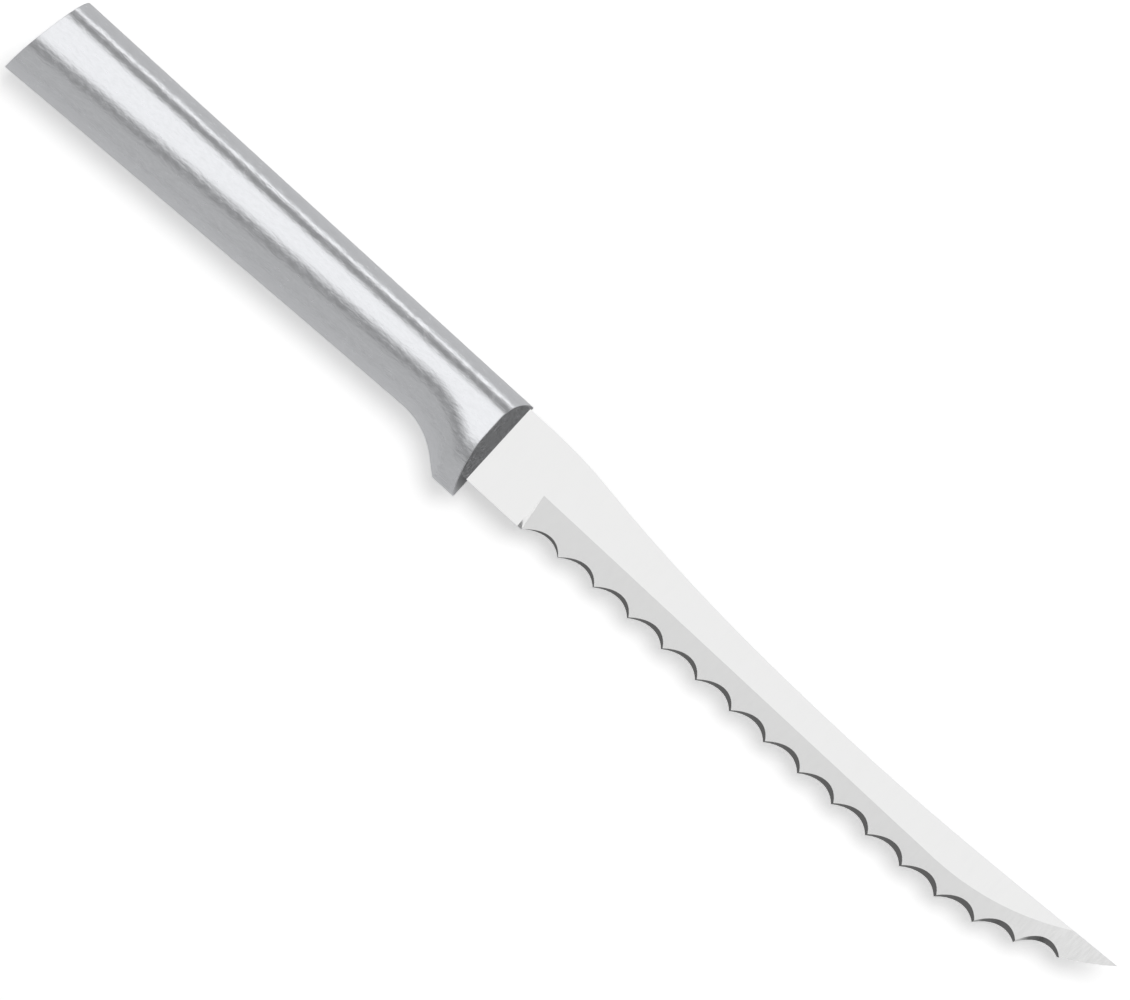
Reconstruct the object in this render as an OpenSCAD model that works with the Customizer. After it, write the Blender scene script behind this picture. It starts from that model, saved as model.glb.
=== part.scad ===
// Serrated tomato knife with a solid cast handle, lying on its side.
//
// Millimetres. +X runs from the butt to the tip, +Y towards the spine and +Z up, out of the
// side with the bevel. The origin is under the middle of the box that holds the knife, on the
// surface that the handle rests on.
//
// The shapes are written in a plan frame: x is 0 at the front of the handle, depth is measured
// down from the spine of the handle towards the cutting edge, and z is 0 at the blade's middle.

/* [Blade] */
// Length of the blade in front of the handle
blade_length = 127.4; // [110:0.1:140]
// Thickness of the blade
blade_thickness = 1.3; // [1:0.05:2]
// How far the blade's spine starts below the spine of the handle
blade_drop = 0.5; // [0.4:0.1:1]
// Depth of the blade where it leaves the handle, from spine to lower edge
blade_depth = 15; // [13:0.1:16]
// Length of the plain part between the handle and the bevel
ricasso_length = 10.5; // [8:0.1:14]
// Length of the start of the blade where the spine runs level
spine_level = 5; // [3:0.5:8]
// Length over which the spine then bends down
spine_bend = 12; // [8:0.5:16]
// How far the spine falls per millimetre after this bend
spine_fall = 0.15; // [0.1:0.01:0.2]
// How far the spine dips towards the edge at its lowest place
spine_dip = 4.6; // [3:0.1:5.5]
// Distance from the handle to the lowest place of the spine
spine_dip_x = 77; // [60:1:90]
// How far the tip stands above the straight part of the edge
tip_rise = 11.6; // [10.5:0.1:12]
// How far the spine rises per millimetre at the tip
tip_slope = 0.05; // [0:0.01:0.1]
// Radius of the edge where it curves up to the tip
edge_radius = 52; // [46:1:60]

/* [Grind] */
// Width of the bevel at the heel
bevel_heel = 5.5; // [4.5:0.1:6]
// Width of the bevel where the edge starts to curve
bevel_tip = 4.7; // [4:0.1:5]
// How far the straight edge lies inside the lower edge of the plain part
edge_inset = 0.85; // [0.6:0.05:1]
// Length over which the edge rises by that, from the first tooth on
edge_ease = 20; // [10:1:30]
// Thickness left along the straight edge at the heel
edge_land = 0.12; // [0.1:0.01:0.2]
// Angle in plan by which the end of the bevel leans away from square
heel_lean = 1; // [0:1:12]
// Angle of the wall where the bevel ends at the heel, up from the flat
heel_wall = 57; // [50:1:80]

/* [Teeth] */
// Distance from one tooth to the next along the edge
tooth_pitch = 7.26; // [6:0.02:9]
// Depth of the hollow between two teeth
tooth_depth = 1.5; // [1:0.05:1.8]
// Distance from the end of the bevel to the first tooth
tooth_start = 0.9; // [0.6:0.1:1.5]
// Least length of plain edge kept before the tip
tip_plain = 8.5; // [7.5:0.5:14]
// How steeply the hollows are ground, up from the flat of the blade
hollow_rise = 41; // [36:1:50]
// Angle in plan by which the hollows are ground towards the tip
hollow_lean = 23; // [0:1:30]

/* [Handle] */
// Length of the handle, from its front to the low corner of the butt
handle_length = 97.9; // [85:0.1:115]
// Thickness of the handle
handle_thickness = 12.4; // [11:0.1:14]
// Depth of the handle at the guard
guard_depth = 18.9; // [18:0.1:22]
// Length of the flat foot of the guard
guard_flat = 4.5; // [3.5:0.1:5.5]
// Angle of the slope behind the foot of the guard
guard_slope = 40.5; // [35:0.5:50]
// Radius of the hollow behind the guard
guard_fillet = 12.6; // [9:0.1:15]
// Depth of the handle at its waist, behind the guard
waist_depth = 13.65; // [13.3:0.05:15]
// Depth of the handle at the butt
butt_depth = 16.6; // [15.5:0.1:18]
// Angle by which the butt is cut back from square
butt_slant = 10.5; // [0:0.5:15]
// Share of the belly's taper that gathers towards the butt
belly_sag = 0.25; // [0:0.05:0.5]
// Width of the rounding along the spine of the handle
spine_round = 4.9; // [4:0.1:5.1]
// Width of the rounded flank along the belly of the grip
flank_width = 8.4; // [7.8:0.1:8.5]
// Width of the rounded flank along the belly at the guard
flank_guard = 10.5; // [9.5:0.1:12]
// Angle at which the flank of the grip meets the belly line
flank_angle = 57; // [50:1:65]
// Angle at which the flank of the guard meets the belly line
flank_angle_guard = 46; // [42:1:55]
// Radius of the rounding along the belly line
belly_round = 1.2; // [0.8:0.1:1.6]
// How far the front of the handle slopes back on each side of the blade
front_setback = 2.7; // [1:0.1:3.2]

/* [Tang] */
// How far the full depth of the blade reaches into the handle
blade_seat = 4.6; // [3.5:0.1:5]
// Length of the tang inside the handle
tang_length = 62; // [45:1:70]
// Depth of the tang
tang_depth = 8.6; // [7:0.1:9]
// Distance from the spine of the handle to the tang
tang_drop = 2.6; // [2.4:0.1:3]
// How much thinner the tang is than the blade, on each side
tang_relief = 0.1; // [0.05:0.05:0.2]
// Diameter of the holes that the cast handle locks into
lock_hole_d = 4.4; // [3:0.1:5]
// Distance from the front of the handle to the first of these holes
lock_hole_x = 20; // [14:1:26]
// Distance between these holes
lock_hole_pitch = 24; // [14:1:28]

/* [Hidden] */

// Steps along each stretch of the handle, and around half of its section
foot_steps = 3;
fillet_steps = 8;
grip_steps = 9;
spine_steps = 7;
flank_steps = 9;
round_steps = 2;
// Steps along the bend at the start of the blade's spine, and along each half of the rest
bend_steps = 4;
curve_steps = 12;
// Share of the way to the corner that a flank's curve is pulled
flank_pull = 0.62;
// Share of the handle over which the rings turn to the slant of the butt
slant_share = 0.35;
// How much neighbouring hollows overlap, so that each tooth is a point
tooth_overlap = 0.1;
// Room that a cutting block reaches past what it cuts
past = 2;
round_fn = 96;
wide_fn = 240;

half = handle_thickness / 2;
skin = blade_thickness / 2;
blade_belly = blade_drop + blade_depth;
edge_depth = blade_belly - edge_inset;
tip_depth = edge_depth - tip_rise;
dip_depth = blade_drop + spine_dip;
// Where the spine's first bend ends
bend_x = spine_level + spine_bend;
bend_depth = blade_drop + spine_fall * spine_bend / 2;
// Where the blade's flats meet the sloping front of the handle
seat_front = -front_setback * skin / half;

// Place of the edge's curve, and the length of edge that can hold teeth
arc_x = blade_length - sqrt(pow(edge_radius, 2) - pow(edge_radius - tip_rise, 2));
arc_depth = edge_depth - edge_radius;
arc_turn = acos((edge_radius - tip_rise) / edge_radius);
first_tooth = ricasso_length + tooth_start;
edge_run = arc_x - first_tooth + edge_radius * arc_turn * PI / 180;
tooth_gaps = floor((edge_run - tip_plain) / tooth_pitch);

// The bevel falls by this much for each millimetre towards the edge
bevel_fall = (blade_thickness - edge_land) / bevel_heel;
bevel_turn = atan((bevel_heel - bevel_tip) / (arc_x - ricasso_length));
arc_land = blade_thickness - bevel_tip * bevel_fall;

// Distance of the butt's high corner from the front of the handle
spine_length = handle_length - tan(butt_slant) * butt_depth;
// The slope behind the guard meets the waist at corner_d, and the fillet takes tangent_d there
corner_d = guard_flat + (guard_depth - waist_depth) / tan(guard_slope);
tangent_d = guard_fillet * tan(guard_slope / 2);
waist_d = corner_d + tangent_d;

// From the plan frame to the part's own frame
module placed() {
    translate([(handle_length - blade_length) / 2, guard_depth / 2, half])
        children();
}

// A smooth step from one depth to another with given slopes at both ends
function eased(t, from, to, slope_from, slope_to) =
    let (u = 1 - t)
    from * u * u * (1 + 2 * t) + to * t * t * (3 - 2 * t)
    + slope_from * t * u * u - slope_to * t * t * u;

// The blade's spine as plan points: the first bend, the fall to the lowest place, the rise
function spine_bending(t) =
    [spine_level + spine_bend * t, -blade_drop - (bend_depth - blade_drop) * t * t];
function spine_to_dip(t) =
    let (run = spine_dip_x - bend_x)
    [bend_x + run * t, -eased(t, bend_depth, dip_depth, spine_fall * run, 0)];
function spine_to_tip(t) =
    let (run = blade_length - spine_dip_x)
    [spine_dip_x + run * t, -eased(t, dip_depth, tip_depth, 0, -tip_slope * run)];

// Point of the edge at a distance along it, measured from the front of the handle
function edge_point(s) =
    let (
        turn = max(0, s - arc_x) / edge_radius * 180 / PI,
        low = edge_inset * pow(max(0, 1 - (s - first_tooth) / edge_ease), 2)
    )
    [min(s, arc_x) + edge_radius * sin(turn), -arc_depth - edge_radius * cos(turn) - low];

// Depth of the handle at a distance behind its front
function belly_depth(d) =
    d <= guard_flat ? guard_depth
    : d <= corner_d - tangent_d * cos(guard_slope)
    ? guard_depth - (d - guard_flat) * tan(guard_slope)
    : d <= waist_d
    ? waist_depth + guard_fillet - sqrt(pow(guard_fillet, 2) - pow(waist_d - d, 2))
    : let (t = (d - waist_d) / (handle_length - waist_d))
      waist_depth + (butt_depth - waist_depth) * t * (1 - belly_sag + belly_sag * t);

// Half of the handle's section at that place, from spine to belly, as pairs of depth and height
function half_section(d) =
    let (
        depth = belly_depth(d),
        guard = d < waist_d ? (depth - waist_depth) / (guard_depth - waist_depth) : 0,
        angle = flank_angle + guard * (flank_angle_guard - flank_angle),
        width = flank_width + guard * (flank_guard - flank_width),
        start = [depth - width, half],
        end = [depth - belly_round * (1 - sin(angle)), belly_round * cos(angle)],
        corner = [end[0] - (half - end[1]) / tan(angle), half],
        pull_start = start + flank_pull * (corner - start),
        pull_end = end + flank_pull * (corner - end)
    )
    concat(
        [for (i = [0:spine_steps])
            let (a = 90 * i / spine_steps)
            [spine_round * (1 - cos(a)), half * sin(a)]],
        [for (i = [0:flank_steps])
            let (t = i / flank_steps, u = 1 - t)
            u * u * u * start + 3 * u * u * t * pull_start
            + 3 * u * t * t * pull_end + t * t * t * end],
        [for (i = [1:round_steps])
            let (a = (90 - angle) * (1 - i / round_steps))
            [depth - belly_round * (1 - cos(a)), belly_round * sin(a)]]
    );

// Closed ring of the handle, turned to the sloping front and to the slant of the butt
function ring(d) =
    let (
        top = half_section(d),
        bottom = [for (i = [len(top) - 2:-1:1]) [top[i][0], -top[i][1]]],
        front = max(0, 1 - d / guard_flat) * front_setback / half,
        turned = (1 - slant_share) * spine_length,
        slant = max(0, d - turned) / (spine_length - turned) * tan(butt_slant)
    )
    [for (p = concat(top, bottom)) [-d - front * abs(p[1]) - slant * p[0], -p[0], p[1]]];

function handle_stations() =
    let (
        slope_end = corner_d - tangent_d * cos(guard_slope),
        sweep = asin((waist_d - slope_end) / guard_fillet)
    )
    concat(
        [for (i = [0:foot_steps]) guard_flat * i / foot_steps],
        [for (i = [0:fillet_steps])
            waist_d - guard_fillet * sin(sweep * (1 - i / fillet_steps))],
        [for (i = [1:grip_steps])
            waist_d + (spine_length - waist_d) * i / grip_steps]
    );

// The handle before the blade is let in: rings joined by triangles, with flat ends
module handle_casting() {
    stations = handle_stations();
    rings = [for (d = stations) ring(d)];
    count = len(rings[0]);
    belly = count / 2;
    last = (len(rings) - 1) * count;
    sides = [
        for (i = [0:len(rings) - 2])
            for (j = [0:count - 1])
                let (
                    a = i * count + j,
                    b = i * count + (j + 1) % count
                )
                each [[a, b, b + count], [a, b + count, a + count]]
    ];
    upper_front = [for (j = [belly:-1:0]) j];
    lower_front = concat([0], [for (j = [count - 1:-1:belly]) j]);
    butt = [for (j = [0:count - 1]) last + j];
    polyhedron(
        points = [for (r = rings) each r],
        faces = concat(sides, [upper_front, lower_front, butt]),
        convexity = 6
    );
}

// Outline of the blade in front of the seat, with room left outside the edge's curve
module blade_outline() {
    polygon(concat(
        [[seat_front, -blade_drop]],
        [for (i = [0:bend_steps]) spine_bending(i / bend_steps)],
        [for (i = [1:curve_steps]) spine_to_dip(i / curve_steps)],
        [for (i = [1:curve_steps]) spine_to_tip(i / curve_steps)],
        [
            [blade_length, -edge_depth],
            [first_tooth + edge_ease, -edge_depth],
            [first_tooth + edge_ease, -blade_belly],
            [seat_front, -blade_belly]
        ]
    ));
}

// Outline of the part inside the handle: the seat, its shoulders and the tang
module tang_outline() {
    tang_belly = tang_drop + tang_depth;
    nose = tang_depth / 3;
    polygon([
        [seat_front, -blade_drop],
        [seat_front, -blade_belly],
        [-blade_seat, -blade_belly],
        [-blade_seat - (blade_belly - tang_belly), -tang_belly],
        [-tang_length + nose, -tang_belly],
        [-tang_length, -tang_belly + nose],
        [-tang_length, -tang_drop - nose],
        [-tang_length + nose, -tang_drop],
        [-blade_seat - (tang_drop - blade_drop), -tang_drop],
        [-blade_seat, -blade_drop]
    ]);
}

module flat_plate(thickness) {
    translate([0, 0, -thickness / 2])
        linear_extrude(height = thickness)
            children();
}

// The tang with its locking holes, as the handle is cast around it
module tang() {
    thickness = blade_thickness - 2 * tang_relief;
    difference() {
        flat_plate(thickness)
            tang_outline();
        for (i = [0, 1])
            translate([-lock_hole_x - i * lock_hole_pitch, -tang_drop - tang_depth / 2, 0])
                cylinder(h = thickness + past, d = lock_hole_d, center = true, $fn = round_fn);
    }
}

// Block that holds the plain part of the blade, up to the wall where the grinding stops
module plain_part() {
    translate([ricasso_length, bevel_heel - edge_depth, skin])
        rotate([0, 0, heel_lean])
            rotate([0, heel_wall - 90, 0])
                translate([-blade_depth, -blade_depth * 1.5, -blade_depth])
                    cube([blade_depth, blade_depth * 3, blade_depth * 3]);
}

// What the straight bevel takes off: a block above the ground plane
module bevel_cut() {
    translate([ricasso_length, bevel_heel - edge_depth, skin])
        rotate([0, 0, -bevel_turn])
            rotate([atan(bevel_fall), 0, 0])
                translate([-past, -blade_depth, 0])
                    cube([blade_length, blade_depth + past, blade_depth]);
}

// What the curved end of the bevel takes off: all outside a cone about the edge's centre
module tip_cut() {
    low = -skin - past;
    high = skin + past;
    zero_radius = edge_radius + arc_land / bevel_fall;
    difference() {
        translate([arc_x, -edge_depth - past, low])
            cube([blade_length, blade_depth + past * 2, high - low]);
        translate([arc_x, -arc_depth, low - past])
            intersection() {
                cylinder(
                    h = high - low + 2 * past,
                    r1 = zero_radius + 2 * past / bevel_fall,
                    r2 = zero_radius - (blade_thickness + 2 * past) / bevel_fall,
                    $fn = wide_fn
                );
                cylinder(h = high - low + 2 * past, r = edge_radius, $fn = wide_fn);
            }
    }
}

// One hollow between two teeth: a wheel that comes in at a slant from the spine and the tip
module hollow_cut() {
    chord = tooth_pitch + tooth_overlap;
    rise = sin(hollow_rise);
    // Height of the wheel's outline on the flat of the blade, for a wheel of radius 1
    tall = sqrt(pow(cos(hollow_lean) / rise, 2) + pow(sin(hollow_lean), 2));
    radius = tall / (2 * tooth_depth)
        * (pow(chord / 2 * rise * tall, 2) + pow(tooth_depth / tall, 2));
    below = radius * tall - tooth_depth;
    skew = sin(hollow_lean) * cos(hollow_lean) * (1 / (rise * rise) - 1) / (tall * tall);
    reach = 2 * radius + 2 * past;
    translate([-below * skew, -below, -skin])
        rotate([0, 0, -hollow_lean])
            rotate([hollow_rise - 90, 0, 0])
                cylinder(h = 2 * reach, r = radius, center = true, $fn = round_fn);
}

// Puts a cut on the line between a tooth and the next one, halfway along
module between_teeth(i) {
    from = edge_point(first_tooth + i * tooth_pitch);
    to = edge_point(first_tooth + (i + 1) * tooth_pitch);
    translate([(from[0] + to[0]) / 2, (from[1] + to[1]) / 2, 0])
        rotate([0, 0, atan2(to[1] - from[1], to[0] - from[0])])
            children();
}

module blade() {
    color([0.86, 0.87, 0.88])
        placed() {
            difference() {
                flat_plate(blade_thickness)
                    blade_outline();
                tip_cut();
                difference() {
                    union() {
                        bevel_cut();
                        for (i = [0:tooth_gaps - 1])
                            between_teeth(i)
                                hollow_cut();
                    }
                    plain_part();
                }
            }
            tang();
        }
}

module handle() {
    color([0.68, 0.69, 0.7])
        placed()
            difference() {
                handle_casting();
                flat_plate(blade_thickness)
                    translate([seat_front, -blade_belly])
                        square([past, blade_depth]);
                tang();
            }
}

blade();
handle();
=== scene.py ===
import math

import bpy
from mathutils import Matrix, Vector


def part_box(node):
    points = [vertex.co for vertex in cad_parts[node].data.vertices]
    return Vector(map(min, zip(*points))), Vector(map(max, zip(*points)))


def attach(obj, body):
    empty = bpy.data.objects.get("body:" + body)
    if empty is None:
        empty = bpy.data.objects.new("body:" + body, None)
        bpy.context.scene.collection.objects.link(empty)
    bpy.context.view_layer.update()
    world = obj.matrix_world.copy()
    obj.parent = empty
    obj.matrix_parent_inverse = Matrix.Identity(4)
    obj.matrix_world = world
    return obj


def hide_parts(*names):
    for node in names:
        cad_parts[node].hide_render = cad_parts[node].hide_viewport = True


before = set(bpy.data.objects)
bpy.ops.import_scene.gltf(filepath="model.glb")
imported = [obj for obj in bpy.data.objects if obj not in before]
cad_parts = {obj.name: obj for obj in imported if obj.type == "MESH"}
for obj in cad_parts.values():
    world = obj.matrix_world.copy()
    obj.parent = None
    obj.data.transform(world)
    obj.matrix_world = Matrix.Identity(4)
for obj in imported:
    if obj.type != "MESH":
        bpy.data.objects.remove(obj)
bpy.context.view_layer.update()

# Sizes of the handle in millimetres of the plan frame: x from the handle's front towards the
# tip, depth down from the handle's spine, height up from the middle of the blade
MM = 0.001
HANDLE_LENGTH = 97.9
GUARD_DEPTH = 18.9
HANDLE_THICKNESS = 12.4
HALF = HANDLE_THICKNESS / 2
GUARD_FLAT = 4.5
GUARD_SLOPE = math.radians(40.5)
GUARD_FILLET = 12.6
WAIST_DEPTH = 13.65
BUTT_DEPTH = 16.6
BUTT_SLANT = math.radians(10.5)
SPINE_ROUND = 4.9
BELLY_ROUND = 1.2
FRONT_SETBACK = 2.7
# Width and slope of the flank along the belly, on the grip and on the guard
FLANK_WIDTH, FLANK_WIDTH_GUARD = 8.4, 10.5
FLANK_ANGLE, FLANK_ANGLE_GUARD = math.radians(57), math.radians(46)
# Shares: how hollow the belly line is, how far the flank's curve is pulled to its corner, and
# how much of the grip turns gradually to the slant of the butt
BELLY_SAG = 0.25
FLANK_PULL = 0.62
SLANT_SHARE = 0.35

# Places that follow from the sizes, as distances behind the handle's front
SPINE_LENGTH = HANDLE_LENGTH - math.tan(BUTT_SLANT) * BUTT_DEPTH
CORNER = GUARD_FLAT + (GUARD_DEPTH - WAIST_DEPTH) / math.tan(GUARD_SLOPE)
TANGENT = GUARD_FILLET * math.tan(GUARD_SLOPE / 2)
WAIST = CORNER + TANGENT
SLOPE_END = CORNER - TANGENT * math.cos(GUARD_SLOPE)
FRONT_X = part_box("handle")[0].x + HANDLE_LENGTH * MM

# Steps of the handle's mesh round its section and along it, and its softened rims
SPINE_STEPS, FLANK_STEPS, BELLY_STEPS = 22, 36, 8
FLAT_STEPS, SLOPE_STEPS, FILLET_STEPS, GRIP_STEPS = 8, 4, 28, 90
RIM_WIDTH, RIM_STEPS, RIM_ANGLE = 0.35, 3, math.radians(28)

# Range of a noise that is carried over to other values
NOISE = (0.3, 0.7)

# The handle's metal: its colour, its grain by lines to a metre along x, y and z, and the
# roughness, the relief in millimetres and the tones that the grain gives
ALUMINIUM = (0.85, 0.86, 0.885)
ALUMINIUM_GRAIN, ALUMINIUM_DETAIL = (700, 1700, 1700), 5
ALUMINIUM_ROUGHNESS = (0.16, 0.28)
ALUMINIUM_BUMP, ALUMINIUM_RELIEF = 1, 0.045
ALUMINIUM_TONES = (0.94, 1.02)
# The handle's front is where the surface faces the tip by so much. Painted shade takes the second
# share of its tone there, and painted light gives back a little at the guard's edge, over a height
# in millimetres.
FRONT_SHADE_FACING = (0.7, 0.85)
FRONT_PAINTED_SHADE, FRONT_PAINTED_LIGHT_HEIGHT = (-0.1, 0.55), 4

# The blade's metal, described in the same way
STEEL = (1, 1, 0.998)
STEEL_GRAIN, STEEL_DETAIL = (2600, 220, 2600), 3
STEEL_ROUGHNESS = (0.16, 0.24)
STEEL_BUMP, STEEL_RELIEF = 0.06, 0.02
# Painted shade in the hollows: the tone of the hollows and of the flats by how far they face up or
# down. A painted highlight on the heel's wall by how far it faces the tip
HOLLOW_SHADE_FACING, HOLLOW_SHADE_TONES = (0.84, 0.93), (0.23, 0.83)
WALL_HIGHLIGHT_FACING = (0.5, 0.7)

# The floor's half width, its own tone, its tone to the camera, and the glow that lifts it to
# white there
FLOOR_REACH = 1.5
FLOOR_TONE, FLOOR_TONE_SEEN, FLOOR_LIFT = 0.8, 0.98, 0.42

# Share of the studio's light that falls on surfaces, beside what shines in them
STUDIO_ON_SURFACES = 0.5
# Brightness of the studio by the angle in degrees from straight up, measured across the knife:
# negative on the side of the edge, positive on the side of the spine
ACROSS = [
    (-180, 0.5), (-90, 0.5), (-60, 0.5), (-51, 0.3), (-42, 0.3), (-31, 0.62), (-19, 1.05),
    (20, 1.05), (32, 0.8), (44, 0.33), (60, 0.33), (74, 0.5), (80, 1.45), (84, 1.45), (90, 0.52),
    (180, 0.52),
]
# How much of that is left by the angle towards the butt (negative) or the tip (positive)
ALONG = [(-90, 0.9), (22, 1), (34, 0.2), (52, 0.2), (60, 1.4), (70, 1.4), (78, 0.4), (90, 0.5)]

# The lamp's width, its power in watts and where it hangs, in metres
KEY_SIZE, KEY_POWER, KEY_PLACE = 0.7, 4, (0.05, 0.42, 0.88)

# Where the camera stands over the knife in millimetres, how far it sees in metres, and how the
# photograph is framed
CAMERA_X, CAMERA_DEPTH, CAMERA_HEIGHT = 13.4, 7.43, 1000
CAMERA_REACH = 20
PIXELS_PER_MM = 6.343
PHOTO_WIDTH = 1130
PHOTO_TURN = math.radians(42.36)
SENSOR = 36


def place(x, depth, height):
    """A point of the plan frame in the part's frame, in metres."""
    return Vector((FRONT_X + x * MM, (GUARD_DEPTH / 2 - depth) * MM, (HALF + height) * MM))


def belly_depth(d):
    """Depth of the handle at a distance behind its front, in mm."""
    if d <= GUARD_FLAT:
        return GUARD_DEPTH
    if d <= SLOPE_END:
        return GUARD_DEPTH - (d - GUARD_FLAT) * math.tan(GUARD_SLOPE)
    if d <= WAIST:
        return WAIST_DEPTH + GUARD_FILLET - math.sqrt(GUARD_FILLET**2 - (WAIST - d) ** 2)
    t = (d - WAIST) / (HANDLE_LENGTH - WAIST)
    return WAIST_DEPTH + (BUTT_DEPTH - WAIST_DEPTH) * t * (1 - BELLY_SAG + BELLY_SAG * t)


def half_section(d):
    """Half of the handle's section there, as (depth, height) from the spine to the belly."""
    depth = belly_depth(d)
    guard = (depth - WAIST_DEPTH) / (GUARD_DEPTH - WAIST_DEPTH) if d < WAIST else 0
    angle = FLANK_ANGLE + guard * (FLANK_ANGLE_GUARD - FLANK_ANGLE)
    width = FLANK_WIDTH + guard * (FLANK_WIDTH_GUARD - FLANK_WIDTH)
    start = Vector((depth - width, HALF))
    end = Vector((depth - BELLY_ROUND * (1 - math.sin(angle)), BELLY_ROUND * math.cos(angle)))
    corner = Vector((end.x - (HALF - end.y) / math.tan(angle), HALF))
    pull_start = start.lerp(corner, FLANK_PULL)
    pull_end = end.lerp(corner, FLANK_PULL)
    points = []
    for i in range(SPINE_STEPS + 1):
        a = math.pi / 2 * i / SPINE_STEPS
        points.append((SPINE_ROUND * (1 - math.cos(a)), HALF * math.sin(a)))
    for i in range(FLANK_STEPS + 1):
        t = i / FLANK_STEPS
        u = 1 - t
        p = u**3 * start + 3 * u * u * t * pull_start + 3 * u * t * t * pull_end + t**3 * end
        points.append((p.x, p.y))
    for i in range(1, BELLY_STEPS + 1):
        a = (math.pi / 2 - angle) * (1 - i / BELLY_STEPS)
        points.append((depth - BELLY_ROUND * (1 - math.cos(a)), BELLY_ROUND * math.sin(a)))
    return points


def ring(d):
    """Closed ring of the handle, turned to the sloping front and to the slant of the butt."""
    top = half_section(d)
    outline = top + [(depth, -height) for depth, height in top[-2:0:-1]]
    front = max(0, 1 - d / GUARD_FLAT) * FRONT_SETBACK / HALF
    straight = (1 - SLANT_SHARE) * SPINE_LENGTH
    slant = max(0, d - straight) / (SPINE_LENGTH - straight) * math.tan(BUTT_SLANT)
    return [place(-d - front * abs(h) - slant * depth, depth, h) for depth, h in outline]


def stations():
    """Distances behind the handle's front at which its rings stand, in mm."""
    stretches = [
        (0, GUARD_FLAT, FLAT_STEPS),
        (GUARD_FLAT, SLOPE_END, SLOPE_STEPS),
        (SLOPE_END, WAIST, FILLET_STEPS),
        (WAIST, SPINE_LENGTH, GRIP_STEPS),
    ]
    distances = [0]
    for start, end, steps in stretches:
        distances += [start + (end - start) * i / steps for i in range(1, steps + 1)]
    return distances


def make_handle():
    """The whole handle as one smooth closed mesh with softened rims."""
    rings = [ring(d) for d in stations()]
    count = len(rings[0])
    belly = count // 2
    last = (len(rings) - 1) * count
    faces = []
    for i in range(len(rings) - 1):
        for j in range(count):
            a = i * count + j
            b = i * count + (j + 1) % count
            faces.append((a, b, b + count, a + count))
    # The front slopes back from its middle both ways, so it is closed by two flat faces
    faces.append(tuple(range(belly, -1, -1)))
    faces.append(tuple([0] + list(range(count - 1, belly - 1, -1))))
    faces.append(tuple(last + j for j in range(count)))
    mesh = bpy.data.meshes.new("cast_handle")
    mesh.from_pydata([point for points in rings for point in points], [], faces)
    mesh.validate()
    mesh.polygons.foreach_set("use_smooth", [True] * len(mesh.polygons))
    piece = bpy.data.objects.new("cast_handle", mesh)
    bpy.context.scene.collection.objects.link(piece)
    rims = piece.modifiers.new("rims", "BEVEL")
    rims.width = RIM_WIDTH * MM
    rims.segments = RIM_STEPS
    rims.limit_method = "ANGLE"
    rims.angle_limit = RIM_ANGLE
    rims.harden_normals = True
    return piece


def add_math(tree, operation, *values):
    """A math node whose inputs are sockets or numbers."""
    node = tree.nodes.new("ShaderNodeMath")
    node.operation = operation
    for socket, value in zip(node.inputs, values):
        if isinstance(value, (int, float)):
            socket.default_value = value
        else:
            tree.links.new(value, socket)
    return node.outputs["Value"]


def add_range(tree, value, from_low, from_high, to_low, to_high):
    """A value carried over from one range to another, and held at both ends."""
    node = tree.nodes.new("ShaderNodeMapRange")
    node.inputs["From Min"].default_value = from_low
    node.inputs["From Max"].default_value = from_high
    node.inputs["To Min"].default_value = to_low
    node.inputs["To Max"].default_value = to_high
    tree.links.new(value, node.inputs["Value"])
    return node.outputs["Result"]


def add_ramp(tree, value, low, high, levels):
    """A ramp in grey through pairs of degrees and level, for an angle between two limits."""
    ramp = tree.nodes.new("ShaderNodeValToRGB")
    stops = ramp.color_ramp.elements
    while len(stops) < len(levels):
        stops.new(0.5)
    for stop, (degrees, level) in zip(stops, levels):
        stop.position = (degrees - low) / (high - low)
        stop.color = (level, level, level, 1)
    turn = add_range(tree, value, math.radians(low), math.radians(high), 0, 1)
    tree.links.new(turn, ramp.inputs["Fac"])
    return ramp.outputs["Color"]


def split(tree, kind):
    """The x, y and z of the texture coordinates of one kind."""
    coordinates = tree.nodes.new("ShaderNodeTexCoord")
    parts = tree.nodes.new("ShaderNodeSeparateXYZ")
    tree.links.new(coordinates.outputs[kind], parts.inputs["Vector"])
    return parts.outputs


def add_grain(tree, stretch, detail):
    """Noise stretched into grain lines."""
    coordinates = tree.nodes.new("ShaderNodeTexCoord")
    mapping = tree.nodes.new("ShaderNodeMapping")
    mapping.inputs["Scale"].default_value = stretch
    noise = tree.nodes.new("ShaderNodeTexNoise")
    noise.inputs["Scale"].default_value = 1
    noise.inputs["Detail"].default_value = detail
    tree.links.new(coordinates.outputs["Object"], mapping.inputs["Vector"])
    tree.links.new(mapping.outputs["Vector"], noise.inputs["Vector"])
    return noise.outputs["Fac"]


def add_bump(tree, shader, height, strength, relief):
    """Relief on a shader's surface from a height between 0 and 1, so many mm high."""
    bump = tree.nodes.new("ShaderNodeBump")
    bump.inputs["Strength"].default_value = strength
    bump.inputs["Distance"].default_value = relief * MM
    tree.links.new(height, bump.inputs["Height"])
    tree.links.new(bump.outputs["Normal"], shader.inputs["Normal"])


def shade(tree, shader, colour, level):
    """A colour made darker or lighter by a level that varies, on the shader's base colour."""
    scaled = tree.nodes.new("ShaderNodeVectorMath")
    scaled.operation = "SCALE"
    scaled.inputs["Vector"].default_value = colour
    tree.links.new(level, scaled.inputs["Scale"])
    tree.links.new(scaled.outputs["Vector"], shader.inputs["Base Color"])


def new_material(name):
    """A material with nodes, its tree and its shader."""
    material = bpy.data.materials.new(name)
    material.use_nodes = True
    tree = material.node_tree
    return material, tree, tree.nodes["Principled BSDF"]


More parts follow.
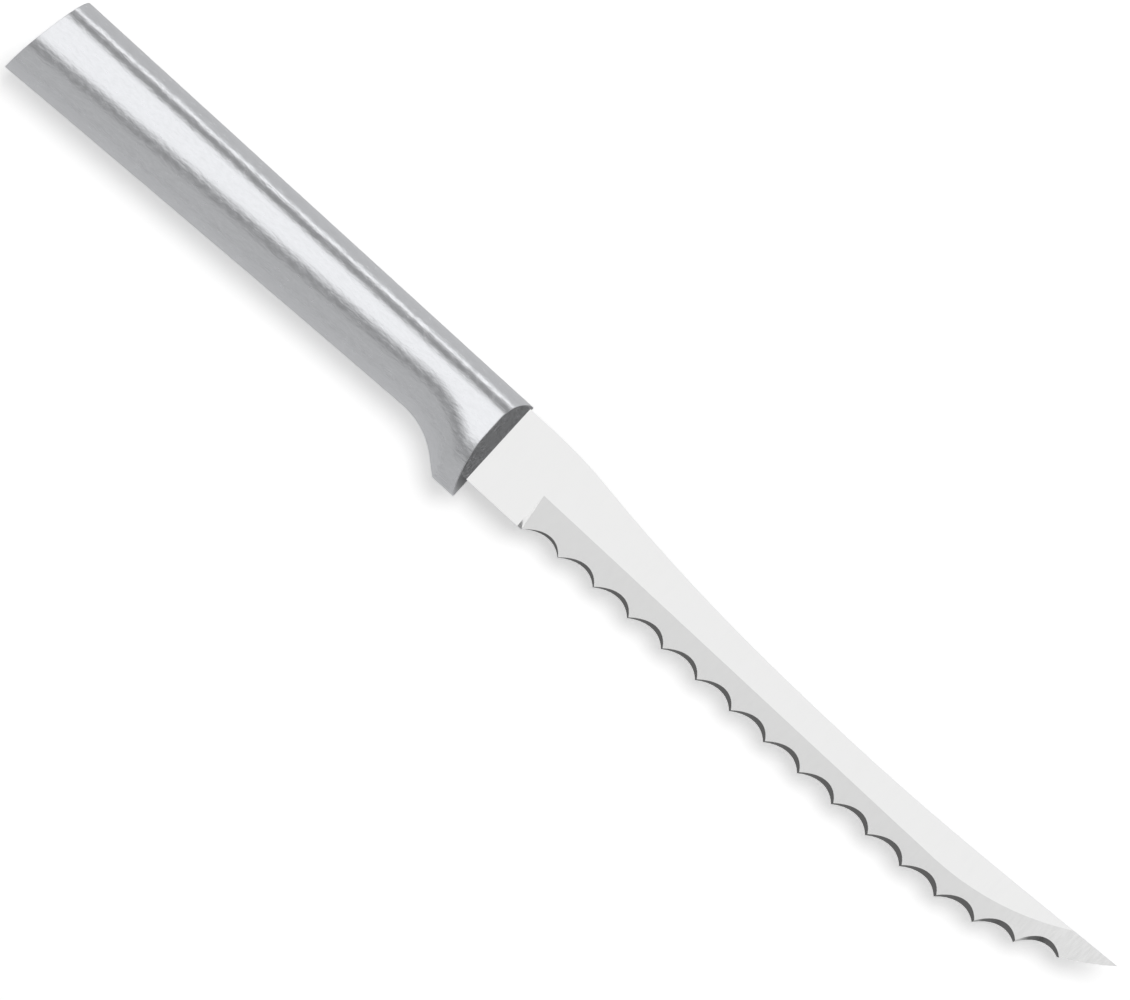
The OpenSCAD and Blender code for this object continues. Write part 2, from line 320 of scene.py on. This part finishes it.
def new_metal(name, stretch, detail, roughness, strength, relief):
    """A metal whose grain changes its roughness and relief, its tree, its shader and its grain."""
    material, tree, shader = new_material(name)
    shader.inputs["Metallic"].default_value = 1
    grain = add_grain(tree, stretch, detail)
    tree.links.new(add_range(tree, grain, *NOISE, *roughness), shader.inputs["Roughness"])
    add_bump(tree, shader, grain, strength, relief)
    return material, tree, shader, grain


def satin_aluminium():
    """Cast aluminium with a satin grain along the handle, with painted shade on the front that
    faces the tip and a little painted light at the guard's edge.
    """
    material, tree, shader, grain = new_metal(
        "satin_aluminium", ALUMINIUM_GRAIN, ALUMINIUM_DETAIL, ALUMINIUM_ROUGHNESS,
        ALUMINIUM_BUMP, ALUMINIUM_RELIEF)
    mottle = add_range(tree, grain, *NOISE, *ALUMINIUM_TONES)
    # Painted shade on the front, where the surface faces the tip
    front_shade_mask = add_range(tree, split(tree, "Normal")["X"], *FRONT_SHADE_FACING, 0, 1)
    edge = -GUARD_DEPTH / 2 * MM
    # Painted light gives back a little of the front's tone at the guard's edge, below the blade
    front_painted_shade = add_range(tree, split(tree, "Object")["Y"], edge, edge + FRONT_PAINTED_LIGHT_HEIGHT * MM, *FRONT_PAINTED_SHADE)
    front_tone_after_shade = add_math(tree, "SUBTRACT", 1, add_math(tree, "MULTIPLY", front_shade_mask, front_painted_shade))
    shade(tree, shader, ALUMINIUM, add_math(tree, "MULTIPLY", mottle, front_tone_after_shade))
    return material


def blade_steel():
    """Ground stainless steel: a fine satin on the flats, painted shade in the hollows and a
    painted highlight on the heel wall.
    """
    material, tree, shader, _ = new_metal(
        "blade_steel", STEEL_GRAIN, STEEL_DETAIL, STEEL_ROUGHNESS, STEEL_BUMP, STEEL_RELIEF)
    facing = split(tree, "Normal")
    # Painted shade: darker where the steel faces away from straight up or down, as in the hollows
    level = add_range(tree, add_math(tree, "ABSOLUTE", facing["Z"]), *HOLLOW_SHADE_FACING, *HOLLOW_SHADE_TONES)
    # Painted highlight on the heel's wall, by how far it faces the tip
    wall = add_range(tree, facing["X"], *WALL_HIGHLIGHT_FACING, 0, 1)
    shade(tree, shader, STEEL, add_math(tree, "MAXIMUM", level, wall))
    return material


def floor_white():
    """White that is lifted by a glow to the camera alone, so that it keeps the shadow."""
    material, tree, shader = new_material("floor_white")
    tree.nodes.remove(shader)
    camera_ray = tree.nodes.new("ShaderNodeLightPath").outputs["Is Camera Ray"]
    diffuse = tree.nodes.new("ShaderNodeBsdfDiffuse")
    glow = tree.nodes.new("ShaderNodeEmission")
    both = tree.nodes.new("ShaderNodeAddShader")
    tone = add_range(tree, camera_ray, 0, 1, FLOOR_TONE, FLOOR_TONE_SEEN)
    lift = add_math(tree, "MULTIPLY", camera_ray, FLOOR_LIFT)
    tree.links.new(tone, diffuse.inputs["Color"])
    tree.links.new(lift, glow.inputs["Strength"])
    tree.links.new(diffuse.outputs["BSDF"], both.inputs[0])
    tree.links.new(glow.outputs["Emission"], both.inputs[1])
    tree.links.new(both.outputs["Shader"], tree.nodes["Material Output"].inputs["Surface"])
    return material


def make_floor():
    """The flat floor that the knife lies on."""
    low, high = -FLOOR_REACH, FLOOR_REACH
    corners = [(low, low, 0), (high, low, 0), (high, high, 0), (low, high, 0)]
    mesh = bpy.data.meshes.new("floor")
    mesh.from_pydata(corners, [], [(0, 1, 2, 3)])
    mesh.materials.append(floor_white())
    floor = bpy.data.objects.new("floor", mesh)
    bpy.context.scene.collection.objects.link(floor)


def make_studio():
    """The studio round the knife: a softbox overhead, dark gaps beside it and a strip light."""
    world = bpy.data.worlds.new("studio")
    bpy.context.scene.world = world
    world.use_nodes = True
    tree = world.node_tree
    x, y, z = split(tree, "Generated")
    across = add_ramp(tree, add_math(tree, "ARCTAN2", y, z), -180, 180, ACROSS)
    along = add_ramp(tree, add_math(tree, "ARCSINE", x), -90, 90, ALONG)
    level = add_math(tree, "MULTIPLY", across, along)
    diffuse_ray = tree.nodes.new("ShaderNodeLightPath").outputs["Is Diffuse Ray"]
    share = add_range(tree, diffuse_ray, 0, 1, 1, STUDIO_ON_SURFACES)
    background = tree.nodes["Background"]
    background.inputs["Color"].default_value = (1, 1, 1, 1)
    tree.links.new(add_math(tree, "MULTIPLY", level, share), background.inputs["Strength"])


def make_key_light():
    """A soft lamp over the spine's side, which throws the shadow towards the edge's side."""
    data = bpy.data.lights.new("key", "AREA")
    data.shape = "DISK"
    data.size = KEY_SIZE
    data.energy = KEY_POWER
    lamp = bpy.data.objects.new("key", data)
    bpy.context.scene.collection.objects.link(lamp)
    lamp.location = KEY_PLACE
    lamp.rotation_euler = (-lamp.location).to_track_quat("-Z", "Y").to_euler()
    lamp.visible_glossy = False


def make_camera():
    """The camera straight above the knife, turned and framed as in the photograph."""
    data = bpy.data.cameras.new("camera")
    data.sensor_fit = "HORIZONTAL"
    data.sensor_width = SENSOR
    data.lens = PIXELS_PER_MM * CAMERA_HEIGHT * SENSOR / PHOTO_WIDTH
    data.clip_end = CAMERA_REACH
    camera = bpy.data.objects.new("camera", data)
    bpy.context.scene.collection.objects.link(camera)
    camera.location = place(CAMERA_X, CAMERA_DEPTH, CAMERA_HEIGHT)
    camera.rotation_euler = (0, 0, PHOTO_TURN)
    bpy.context.scene.camera = camera


make_camera()
make_studio()
make_key_light()
make_floor()

handle = make_handle()
handle.data.materials.append(satin_aluminium())
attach(handle, "root")
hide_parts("handle")

steel = blade_steel()
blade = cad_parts["blade"]
for slot in blade.material_slots:
    slot.material = steel

bpy.context.scene.view_settings.view_transform = "Standard"
